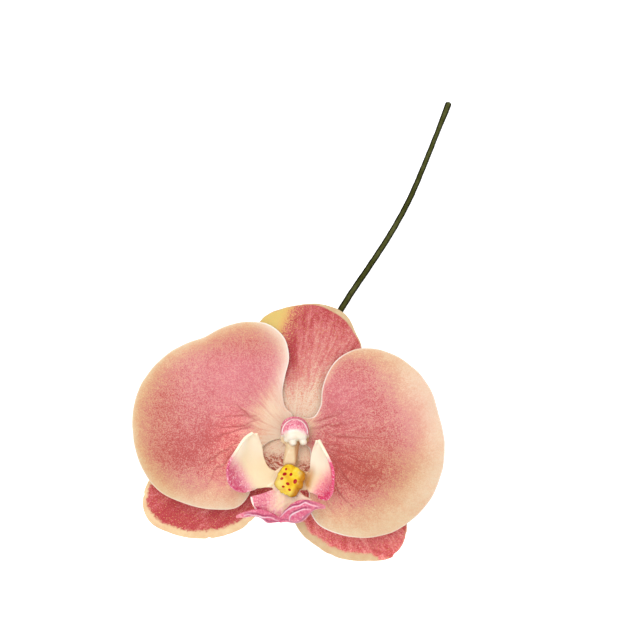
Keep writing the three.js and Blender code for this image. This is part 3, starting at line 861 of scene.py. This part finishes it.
MIDDLE_LEFT_EDGE = [(-14.1, -15.8, 17.6), (-13.5, -17.6, 17.4), (-12.4, -19.7, 17.4)]
FLAP_LINES = [                    # painted shade in the flaps' crevices; the first three have a painted highlight beside them
    [(-5.4, -20.9), (-3, -18.9), (-1, -17.6), (0.7, -17.2), (3.3, -17.4), (5.8, -18.1)],
    [(-2.6, -22.2), (-2.2, -20.6), (-0.7, -19.5), (1.3, -18.7), (3.3, -18.6)],
    [(-15.9, -20.9), (-13.4, -20.4), (-11, -20.9), (-8.5, -21.4), (-6, -22)],
    [(-5.6, -22.4), (-3.7, -22.9), (-1.4, -23.2), (0.9, -22.5), (2.6, -20.8), (4.4, -19.1), (7, -18.4)],
    [(-6.1, -22.6), (-7.7, -23), (-9.1, -23.2), (-11.1, -21.8), (-13.1, -21), (-15.7, -21.3)],
]
FOLD_RADIUS = 0.34                # of the rolled edges


def floor_coat(x, y, z):
    # Ochre painted shade on the floor beside the callus, on both sides.
    return {"ochre": blob(x, y, 2.6, -10.6, 2.2, 3.2) + 0.4 * blob(x, y, -8, -10.5, 2.5, 2)}


def left_lobe_coat(x, y, z, s, t):
    red = 0.88 * ease(past_line(x, y, (-14, -14.2), (-19.4, -3.6)), 2.8, -2.6)
    # A paler cream with a painted highlight on the lobe's upper part and toward its outer edge, less on the
    # edge itself.
    cream = 0.32 * ease(y, -8, -1) + 0.34 * ease(t, 0.5, 0.9) - 0.4 * ease(t, 0.92, 1)
    # Ochre painted shade near the lobe's inner edge.
    return {"magenta": red, "rim": (1 - red) * cream, "ochre": 0.2 * blob(x, y, -10, -6, 2.5, 5)}


def right_lobe_coat(x, y, z, s, t):
    depth = past_line(x, y, (9.5, -6), (4.5, -14.5))
    red = 0.58 * ease(depth, 2.4, -1.6) + 0.38 * ease(depth, -1, -3.6)
    red = np.maximum(red, ease(t, 0.24, 0.04) * ease(-y, 3, 6.5))
    return {
        "magenta": red,
        # A paler cream with a painted highlight on the lobe's upper part, less on its outer edge.
        "rim": (1 - red) * (0.6 * ease(y, -12, -6) - 0.35 * ease(t, 0.12, 0.02)),
        # Painted light on the lobe's pink lower part, which lies in shade.
        "lift": ease(depth, 3, 0),
        # Ochre painted shade along the lobe's inner root.
        "ochre": 1.2 * ease(t, 0.72, 0.95) * ease(-y, 5, 9) * ease(y, -14.5, -12.5),
    }


def middle_coat(x, y, z, s, t):
    strokes = 0.09 * np.sin(46 * s + 5 * np.sin(7 * t)) * ease(t, 0.8, 0.3)
    pink = 0.12 + 0.52 * (1 - ease(s, 0.15, 0.5)) + 0.44 * ease(t, 0.45, 0.02) + strokes
    # Yellower toward the right side.
    return {"magenta": pink, "ochre": 0.15 * ease(s, 0.5, 0.9)}


def flap_coat(x, y, z, s, t):
    pink = 0.78 - 0.2 * ease(s, 0.6, 1) + 0.06 * np.sin(60 * s + 4 * t)
    return {"magenta": pink, "flap": np.ones_like(x)}


def lobe_relief(s, t):
    return 0.1 * np.sin(5 * s + 2 * t) * np.sin(math.pi * t)


def keel_relief(s, t):
    return 0.28 * np.exp(-((s - 0.52) / 0.05) ** 2) - 0.2 * np.exp(-((s - 0.4) / 0.06) ** 2)


def lip_skin():
    half = LIP_THICKNESS / 2
    floor_levels = [(LIP_LEVEL - half, 0.2), (LIP_LEVEL, 0)]
    floor_levels += [(LIP_LEVEL + half, inset) for inset in (0.2, 0.8, 1.5, 2.3, 3.2)]
    parts = [
        painted(stack(FLOOR_OUTLINE, floor_levels), floor_coat),
        strip(LOBE_LEFT_INNER, LOBE_LEFT_OUTER, (-0.6, 0, -1.4), left_lobe_coat, lobe_relief),
        strip(LOBE_RIGHT_OUTER, LOBE_RIGHT_INNER, (0.6, 0, -1.4), right_lobe_coat, lobe_relief),
        strip(MIDDLE_FRONT, MIDDLE_BACK, (0, 0, 0.5), middle_coat, keel_relief),
        strip(FLAP_RIGHT_LOW, FLAP_RIGHT_TOP, (0, -0.8, 0.5), flap_coat, tip=0.25),
        strip(FLAP_LEFT_TOP, FLAP_LEFT_LOW, (0, -0.6, 0.4), flap_coat, tip=0.25),
        cord(FLAP_RIGHT_TOP, magenta=0.75, flap=1),
        cord(FLAP_RIGHT_LOOP, magenta=0.75, flap=1),
        cord(FLAP_LEFT_TOP, magenta=0.75, flap=1),
        # The middle lobe's rolled left edge, with a painted highlight on it.
        cord(MIDDLE_LEFT_EDGE, magenta=0.35, rim=0.7),
    ]
    points, faces = skin_of(parts, voxel=0.16, passes=4)
    values = carried(parts, points)
    x, y, _ = points.T
    # Painted shade along the flaps' crevices, and a painted highlight beside the first three.
    values["dark"] = creased(x, y, FLAP_LINES, 0.27) * values["flap"]
    values["shine"] = creased(x + 0.2, y + 0.55, FLAP_LINES[:3], 0.17) * values["flap"]
    return points, faces, values


def lip_material():
    s = Shader("glazed_lip_light_and_shade")
    cloud = s.noise(500, 4, 0.6)
    grain = s.noise(2200, 2)
    red = s.read("magenta")
    rough_red = s.product(s.scaled(red, 1.2, 0.1, clamp=True), s.scaled(s.read("flap"), -0.5, 1))
    magenta = s.sum(red, s.product(s.sum(s.swing(cloud, 0.6), s.swing(grain, 1.3)), rough_red), clamp=True)
    colour = s.ramp(magenta, [
        (0, 253, 229, 186), (0.25, 247, 196, 178), (0.5, 240, 150, 160), (0.8, 218, 92, 128),
        (1, 204, 42, 96),
    ], LIP_LIGHT)
    # Painted light on the right lobe's shaded pink part.
    colour = s.tint(colour, "lift", 1, (1.22, 1.15, 1.15, 1), "MULTIPLY")
    # Ochre: painted shade in the throat and along the lobes' roots, and a yellower cream on the middle
    # lobe's right side.
    colour = s.tint(colour, "ochre", 0.9, paint(210, 142, 24, LIP_LIGHT))
    # Paler cream and painted highlight on the lobes' upper parts and the middle lobe's rolled edge.
    colour = s.tint(colour, "rim", 0.8, (0.96, 0.92, 0.84, 1))
    glint = s.product(s.level(s.noise(1500, 1), 0.6, 0.7), rough_red)
    colour = s.mix(s.scaled(glint, 0.45), colour, paint(255, 226, 238, 1.2))
    # Painted shade in the flaps' crevices.
    colour = s.tint(colour, "dark", 0.9, paint(150, 20, 80, 1.5))
    # Painted highlight beside the crevices.
    colour = s.tint(colour, "shine", 0.75, paint(255, 240, 246, 1.2))
    height = s.sum(cloud, s.scaled(grain, 0.4))
    return s.finish(
        colour, (cloud, 0.25, 0.2), (height, 0.00014, 0.6),
        specular=0.35, soft=(0.08, 0.001), coat=(0.3, 0.08),
    )


# Column: a hood round the anther cap, and a foot that reaches to the lip

HOOD_OUTLINE = [
    (-5.2, -0.6), (-5.6, 1.8), (-5.5, 4.2), (-4.6, 6), (-3, 6.9), (-1.4, 7.1), (0.4, 6.7), (1.8, 5.7),
    (2.6, 4), (2.7, 1.8), (2.3, -0.6),
]
HOOD_DOME = [
    (-5.2, 1.9), (-5.35, 3.1), (-4.95, 4.5), (-4, 5.7), (-2.7, 6.4), (-1.1, 6.7), (0.4, 6.3), (1.45, 5.4),
    (2.15, 4.2), (2.6, 2.8), (2.45, 1.9), (-1.4, 1.7),
]
FOOT_OUTLINE = [
    (-4.2, 2), (-4.2, -1.5), (-4.6, -4.4), (-4.9, -6.6), (-4.6, -7.4), (-3, -7.6), (-1.6, -7.4),
    (-1.1, -6.6), (-0.6, -4.4), (-0.2, -1.5), (-0.1, 2),
]
POCKET_FLOOR = 15.0
FOOT_TOP = 17.9
HOOD_FOOT = 17.6
HOOD_RISE = 3.0
HOOD_INSET = 2.6
FOOT_EDGE = [(1.7, 0), (1.1, 0.15), (0.6, 0.45), (0.25, 0.9), (0.05, 1.4)]


def dome_levels(start, foot, rise, inset):
    """Levels of a stack that stands straight up to foot and is rounded above it."""
    arc = np.linspace(0, math.pi / 2, 9)
    return [(start, 0.1)] + [(foot + rise * math.sin(a), inset * (1 - math.cos(a))) for a in arc]


def hood_arch(x, y):
    """0 at the middle of the hood's opening, 1 at its outline."""
    return np.hypot((x + 1.4) / 3.95, (y - 2.4) / 4.3)


def hood_pink(x, y):
    """Pale toward the cap, pink above it, deep pink at the outline."""
    arch = hood_arch(x, y)
    field = 0.8 * ease(y + 2.5 * (arch - 0.5), 1.9, 4.5)
    tips = 0.35 * ease(4.4 - y, 0, 1.4)
    return field + (0.15 + tips) * ease(arch, 0.88, 1) * ease(y, 1.5, 2.6)


def column_coat(x, y, z):
    arch = hood_arch(x, y)
    side = np.abs(np.cos(np.arctan2(y - 2.4, x + 1.4)))
    line = np.exp(-((arch - 0.93) / 0.035) ** 2) * ease(z, 17.2, 18)
    return {
        "pink": hood_pink(x, y) * ease(y, 0.6, 2),
        "foot": ease(y, 1.6, 0.6),
        # Ochre painted shade down the foot's right side.
        "ochre": ease(x + 0.12 * y, -2.3, -1.3) * ease(y, 1.6, 0.6),
        # A painted highlight along the hood's edge, strongest at the sides.
        "shine": line * (0.35 + 0.65 * side) * ease(y, 1.8, 2.6),
    }


def column_skin():
    bottom = COLUMN_FOOT_LEVEL + 0.05
    foot_levels = [(bottom, 0.4), (bottom + 0.4, 0)]
    foot_levels += [(FOOT_TOP - drop, inset) for drop, inset in FOOT_EDGE]
    parts = [
        stack(HOOD_DOME, dome_levels(bottom + 0.5, HOOD_FOOT, HOOD_RISE, HOOD_INSET)),
        stack(HOOD_OUTLINE, [(bottom, 0.5), (bottom + 0.5, 0.1), (POCKET_FLOOR, 0.1)]),
        stack(FOOT_OUTLINE, foot_levels),
    ]
    return painted(skin_of(parts, voxel=0.15, passes=4), column_coat)


HOOD_COLOURS = [(0, 254, 238, 214), (0.3, 252, 210, 206), (0.7, 240, 140, 158), (1, 218, 88, 124)]


def grainy_pink(s, cloud, grain):
    """The painted pink, broken into grains where it is strong."""
    pink = s.read("pink")
    return s.sum(pink, s.product(s.sum(s.swing(cloud, 1), s.swing(grain, 2.2)), pink), clamp=True)


def column_material():
    s = Shader("glazed_column_light_and_shade")
    cloud = s.noise(600)
    grain = s.noise(1800, 2)
    colour = s.ramp(grainy_pink(s, cloud, grain), HOOD_COLOURS, HEAD_LIGHT)
    foot = s.ramp(cloud, [(0.3, 254, 226, 180), (0.7, 246, 210, 160)])
    colour = s.tint(colour, "foot", 1, foot)
    # Ochre painted shade on the foot's right side.
    colour = s.tint(colour, "ochre", 0.9, paint(206, 146, 84))
    # Painted highlight along the hood's edge.
    colour = s.tint(colour, "shine", 1, paint(255, 250, 250, 1.2))
    height = s.sum(cloud, s.scaled(grain, 0.3))
    return s.finish(colour, (cloud, 0.2, 0.15), (height, 0.00012, 0.5), soft=(0.08, 0.001), coat=(0.3, 0.1))


# Anther cap, with its beads

CAP_OUTLINE = [
    (-4.2, 0.6), (-4.6, 1.6), (-4.8, 2.8), (-4.2, 3.9), (-2.9, 4.7), (-1.3, 5), (0.3, 4.6), (1.5, 3.8),
    (2.1, 2.7), (2.1, 1.5), (1.8, 0.5), (0.6, 0), (-0.6, 0.1), (-2, -0.1), (-3.4, 0.1),
]
CAP_FOOT = 15.3
CAP_SHOULDER = 18.6
CAP_RISE = 2.1
CAP_INSET = 2.0
BEADS = [(-1.95, -0.25, 19.2, 1.15), (1, -0.1, 19.3, 1.1), (-3.6, 0.7, 18.8, 1)]


def cap_coat(x, y, z):
    return {"pink": hood_pink(x, y), "yellow": 1.2 * blob(x, y, -0.4, -0.7, 0.5, 0.9)}


def cap_skin():
    parts = [stack(CAP_OUTLINE, dome_levels(CAP_FOOT, CAP_SHOULDER, CAP_RISE, CAP_INSET))]
    parts += [ball(x, y, z, (size, 0.95, 1.1)) for x, y, z, size in BEADS]
    return painted(skin_of(parts, voxel=0.14, passes=6), cap_coat)


def cap_material():
    s = Shader("glazed_cap")
    cloud = s.noise(500)
    pink = grainy_pink(s, cloud, s.noise(1800, 2))
    white = s.ramp(cloud, [(0.3, 255, 248, 232), (0.7, 250, 232, 206)], HEAD_LIGHT)
    colour = s.mix(s.level(pink, 0, 0.2), white, s.ramp(pink, HOOD_COLOURS, HEAD_LIGHT))
    colour = s.tint(colour, "yellow", 1, paint(226, 176, 100))
    return s.finish(colour, (cloud, 0.2, 0.2), (cloud, 0.0001, 0.5), soft=(0.1, 0.001), coat=(0.4, 0.1))


# Callus: the yellow spotted lump on the lip's floor

CALLUS_OUTLINE = [
    (-4.2, -6.6), (-2.5, -6.4), (-0.5, -7.6), (1.6, -9), (1.4, -10.7), (0.9, -12.4), (0.1, -13.9),
    (-1.1, -15.6), (-2.5, -16.1), (-4.5, -14.9), (-6.5, -13.6), (-7.4, -12.1), (-6.8, -10.6), (-5.6, -8.1),
]
CALLUS_LUMPS = [
    (-4, -8.2, 19.9, 1.3), (-1.2, -8.6, 20, 1.4), (0.3, -10.2, 19.7, 1.3), (-5.6, -11.8, 19.7, 1.3),
    (-3.6, -13.9, 19.6, 1.4), (-1.8, -14.6, 19.2, 1.2), (-0.3, -12.2, 19.9, 1.3), (-6.4, -12.2, 18.9, 0.8),
    (-2.4, -15.3, 18.7, 0.7), (0.8, -9.5, 19.1, 0.8), (-3.4, -7.2, 19.1, 0.7), (-5, -14, 18.9, 0.8),
    (0.1, -12.9, 19, 0.8), (-5.7, -9.4, 19, 0.7), (-1.1, -7.9, 19.1, 0.7),
]
CALLUS_SPOTS = [
    (-3.9, -7.8, 0.3, 60), (-4.3, -9.2, 0.48, 20), (-2.5, -9.3, 0.4, 50), (-5.1, -10.5, 0.38, 30),
    (-1.3, -11.3, 0.54, 70), (-3.4, -12, 0.44, -30), (-4.7, -12.8, 0.32, -5), (-2.9, -13.7, 0.34, -30),
]
# Painted light on the callus, its lit left side and highlights: strength, x, y, length, width and turn.
CALLUS_PAINTED_LIGHT = [(1, -5.9, -11.8, 1.6, 2.5), (0.6, -2.2, -14.9, 2, 1.2), (1.3, 0.2, -9, 0.8, 0.5, -40)]


def callus_coat(x, y, z):
    spot = np.zeros_like(x)
    for px, py, size, turn in CALLUS_SPOTS:
        spot = np.maximum(spot, blob(x, y, px, py, 1.3 * size, size, turn))
    side = ease(past_line(x, y, (-2, -15.5), (1.2, -8.4)), -1.2, 0.3)
    return {
        "spot": spot * ease(z, 18.5, 19.5),
        # Orange on the right side and round the lower sides: painted shade.
        "orange": np.clip(0.9 * side + 0.9 * ease(-z, -19.5, -18.3), 0, 1),
        # Painted light on the lit side and highlights.
        "light": dabs(x, y, CALLUS_PAINTED_LIGHT),
    }


def callus_skin():
    parts = [stack(CALLUS_OUTLINE, [(17.4, 0.3), (17.8, 0), (19.2, 0.2), (19.9, 0.7), (20.3, 1.4)])]
    parts += [ball(x, y, z, (size, size, 0.8)) for x, y, z, size in CALLUS_LUMPS]
    return painted(skin_of(parts, voxel=0.12, passes=5), callus_coat)


def callus_material():
    s = Shader("spotted_callus_light_and_shade")
    cloud = s.noise(450, 4)
    grain = s.noise(2200, 2)
    colour = s.ramp(cloud, [(0.3, 232, 172, 12), (0.5, 248, 204, 22), (0.7, 254, 226, 66)], HEAD_LIGHT)
    # Lighter yellow on the lit side and highlights: painted light.
    colour = s.tint(colour, "light", 0.7, paint(255, 236, 140))
    # Orange on the right and lower sides: painted shade.
    colour = s.tint(colour, "orange", 1, paint(206, 128, 0))
    spot = s.sum(s.read("spot"), s.swing(grain, 0.25))
    colour = s.mix(s.level(spot, 0.3, 0.44), colour, paint(184, 4, 4, HEAD_LIGHT))
    height = s.sum(cloud, s.scaled(grain, 0.4))
    return s.finish(colour, (cloud, 0.2, 0.22), (height, 0.0002, 0.7), specular=0.12, coat=(0.15, 0.08))


# Stem: a wire wound with crepe tape, bent up into the receptacle

GROUND_LINE = [
    (43.8, 98.9), (39.9, 89), (36, 79.3), (31.9, 69.9), (26.5, 60.1), (20.4, 50.7), (14, 41.2), (8, 31),
    (2.8, 20.5), (-0.6, 12), (-1.5, 5.5),
]
STEM_TOP = 6.0
TAPE_PITCH = 5.2                  # of the tape's spiral
TAPE_STEP = 0.05                  # height of the tape's overlapping edge
TAPE_ROW = 0.3
TAPE_SIDES = 28
THICK_SPOTS = [                   # how far along the stem, and how many times its usual thickness
    (0, 1.22), (3, 1.18), (9, 0.96), (16, 1), (30, 1.08), (50, 1.14), (68, 1.2), (85, 1.2), (160, 1.08),
]


def stem_route():
    level = STEM_RADIUS
    ground = spline([(px, py, level) for px, py in GROUND_LINE], 300)
    x, y = HEART
    top = level + ELBOW_RADIUS
    corner = 0.45 * ELBOW_RADIUS
    a, b, c, d = np.array([
        (x, y + ELBOW_RADIUS, level), (x, y + corner, level), (x, y, top - corner), (x, y, top),
    ])
    t = np.linspace(0, 1, 40)[1:, None]
    elbow = (1 - t)**3 * a + 3 * t * (1 - t)**2 * b + 3 * t**2 * (1 - t) * c + t**3 * d
    return np.vstack([ground, elbow, [(x, y, STEM_TOP)]])


def stem_tape():
    route = stem_route()
    spots = np.arange(0, run_of(route)[-1], TAPE_ROW)
    centre = points_at(route, spots)
    ahead = unit(np.gradient(centre, axis=0))
    side = [np.cross(ahead[0], (0, 0, 1))]
    for direction in ahead[1:]:
        side.append(unit(side[-1] - direction * side[-1].dot(direction)))
    side = np.array(side)
    up = np.cross(side, ahead)

    turn = turns(TAPE_SIDES)
    spiral = (spots[:, None] / TAPE_PITCH - turn / (2 * math.pi)) % 1.0
    ridge = TAPE_STEP * (ease(spiral, 0, 0.08) - spiral)
    wobble = 0.01 * np.sin(5 * turn + 1.7 * spots[:, None])
    tip = np.clip(spots / STEM_RADIUS, 0, 1)
    thinning = np.sqrt(np.clip(1 - (1 - tip) ** 2, 0.0004, 1))
    radius = (STEM_RADIUS + ridge + wobble) * (np.interp(spots, *zip(*THICK_SPOTS)) * thinning)[:, None]
    around = np.cos(turn)[:, None] * side[:, None] + np.sin(turn)[:, None] * up[:, None]
    ring = centre[:, None] + radius[..., None] * around
    ring[..., 2] = np.maximum(ring[..., 2], 0)
    return *shell(ring), {
        "spiral": spiral.ravel(), "along": np.repeat(spots, TAPE_SIDES), "upward": around[..., 2].ravel(),
    }


def tape_material():
    s = Shader("crepe_tape_with_side_shade")
    crepe = s.noise(2, 4, vector=s.along("spiral", 26, "along", 0.25))
    cloud = s.noise(350)
    grain = s.noise(1500, 2)
    colour = s.ramp(s.sum(cloud, s.swing(grain, 0.4)), [(0.3, 70, 72, 26), (0.7, 108, 110, 64)])
    colour = s.mix(s.scaled(crepe, 0.5), colour, paint(56, 58, 30))
    step = s.level(s.read("spiral"), 0.12, 0)
    colour = s.mix(s.scaled(step, 0.6), colour, paint(30, 32, 16))
    # Darker toward the sides and underside: painted shade.
    colour = s.mix(s.level(s.read("upward"), 0.98, 0.62), colour, paint(14, 16, 4))
    return s.finish(colour, (cloud, 0.15, 0.8), (s.sum(crepe, grain), 0.00012, 0.7), specular=0.02)


# Receptacle

RECEPTACLE_PROFILE = [
    (1.05, 5.4), (1.6, 5.42), (2, 7), (2.5, 8.6), (3.2, 9.9), (3.3, 10.3), (3, 10.45), (1.4, 10.45),
]
SOCKET_TOP = 6.4


def receptacle_body():
    profile = spline(RECEPTACLE_PROFILE, 60)
    turn = turns(72)
    radius = profile[:, :1] * (1 + 0.035 * np.cos(5 * turn + 0.6) + 0.015 * np.sin(11 * turn))
    radius = radius + 0.04 * np.sin(3 * profile[:, 1:] + 2 * turn)
    x, y = HEART[0] + radius * np.cos(turn), HEART[1] + radius * np.sin(turn)
    rings = np.stack([x, y, profile[:, 1:] + 0 * turn], axis=2)
    socket = rings[:1].copy()
    socket[..., 2] = SOCKET_TOP
    return *shell(np.concatenate([socket, rings])), {}


def receptacle_material():
    s = Shader("receptacle_paste")
    cloud = s.noise(300, 4)
    height = s.sum(cloud, s.scaled(s.noise(1800, 2), 0.3))
    colour = s.ramp(cloud, [(0.3, 186, 186, 120), (0.7, 228, 212, 160)])
    return s.finish(colour, (cloud, 0.2, 0.55), (height, 0.00015, 0.6))


def wire_material():
    s = Shader("steel_wire")
    drawn = s.noise(900)
    colour = s.ramp(drawn, [(0.3, 150, 152, 154), (0.7, 188, 190, 192)])
    return s.finish(colour, (drawn, 0.15, 0.3), (drawn, 0.00004, 0.5), metal=1)


# Assembly

make_camera()
make_light()
make_floor()
bpy.context.scene.view_settings.view_transform = "Standard"

petal_look = petal_material()
for name, outline, middle, phase, seed, creases, dust in (
    ("petal_left", PETAL_LEFT_OUTLINE, (-26, 8), 0.6, 3, PETAL_LEFT_CREASES, left_petal_dust),
    ("petal_right", PETAL_RIGHT_OUTLINE, (22, -1), 2.1, 5, PETAL_RIGHT_CREASES, right_petal_dust),
):
    height = petal_height(middle, phase, seed, creases)
    tepal(name, outline, middle, height, petal_edge, dust, petal_look, rings=90, count=420)

# Each sepal has its own copy of the sepal material, lighter where the petals shade it: painted light.
for name, outline, middle, height, edge, dust, look in (
    ("sepal_dorsal", DORSAL_OUTLINE, (1, 23), dorsal_height, sepal_edge(51, 0), dorsal_dust,
     sepal_material(OPEN_LIGHT, DORSAL_BORDER_LIGHT, raggedness=0.25)),
    ("sepal_left", SEPAL_LEFT_OUTLINE, (-25, -15), lateral_height(43, 7), sepal_edge(61, 0.8),
     lateral_dust(2.4, 60, 1, -3.6),
     sepal_material(LEFT_LIGHT, LEFT_BORDER_LIGHT)),
    ("sepal_right", SEPAL_RIGHT_OUTLINE, (15, -20), lateral_height(40, 9, RIGHT_CORNER_FOLD),
     sepal_edge(71, 0.3), lateral_dust(2.4, 25, 0.82, -6, RIGHT_CORNER_FOLD),
     sepal_material(RIGHT_LIGHT, RIGHT_BORDER_LIGHT)),
):
    tepal(name, outline, middle, height, edge, dust, look, rings=50, count=280)

for name, shape, look, slot in (
    ("lip", lip_skin, lip_material, "lip"),
    ("column", column_skin, column_material, "column"),
    ("anther_cap", cap_skin, cap_material, "anther_cap"),
    ("callus", callus_skin, callus_material, "callus"),
    ("stem_tape", stem_tape, tape_material, "tape"),
    ("receptacle", receptacle_body, receptacle_material, "receptacle"),
):
    points, faces, values = shape()
    make_piece(name, points, faces, look(), values)

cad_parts["stem_wire"].data.materials[0] = wire_material()
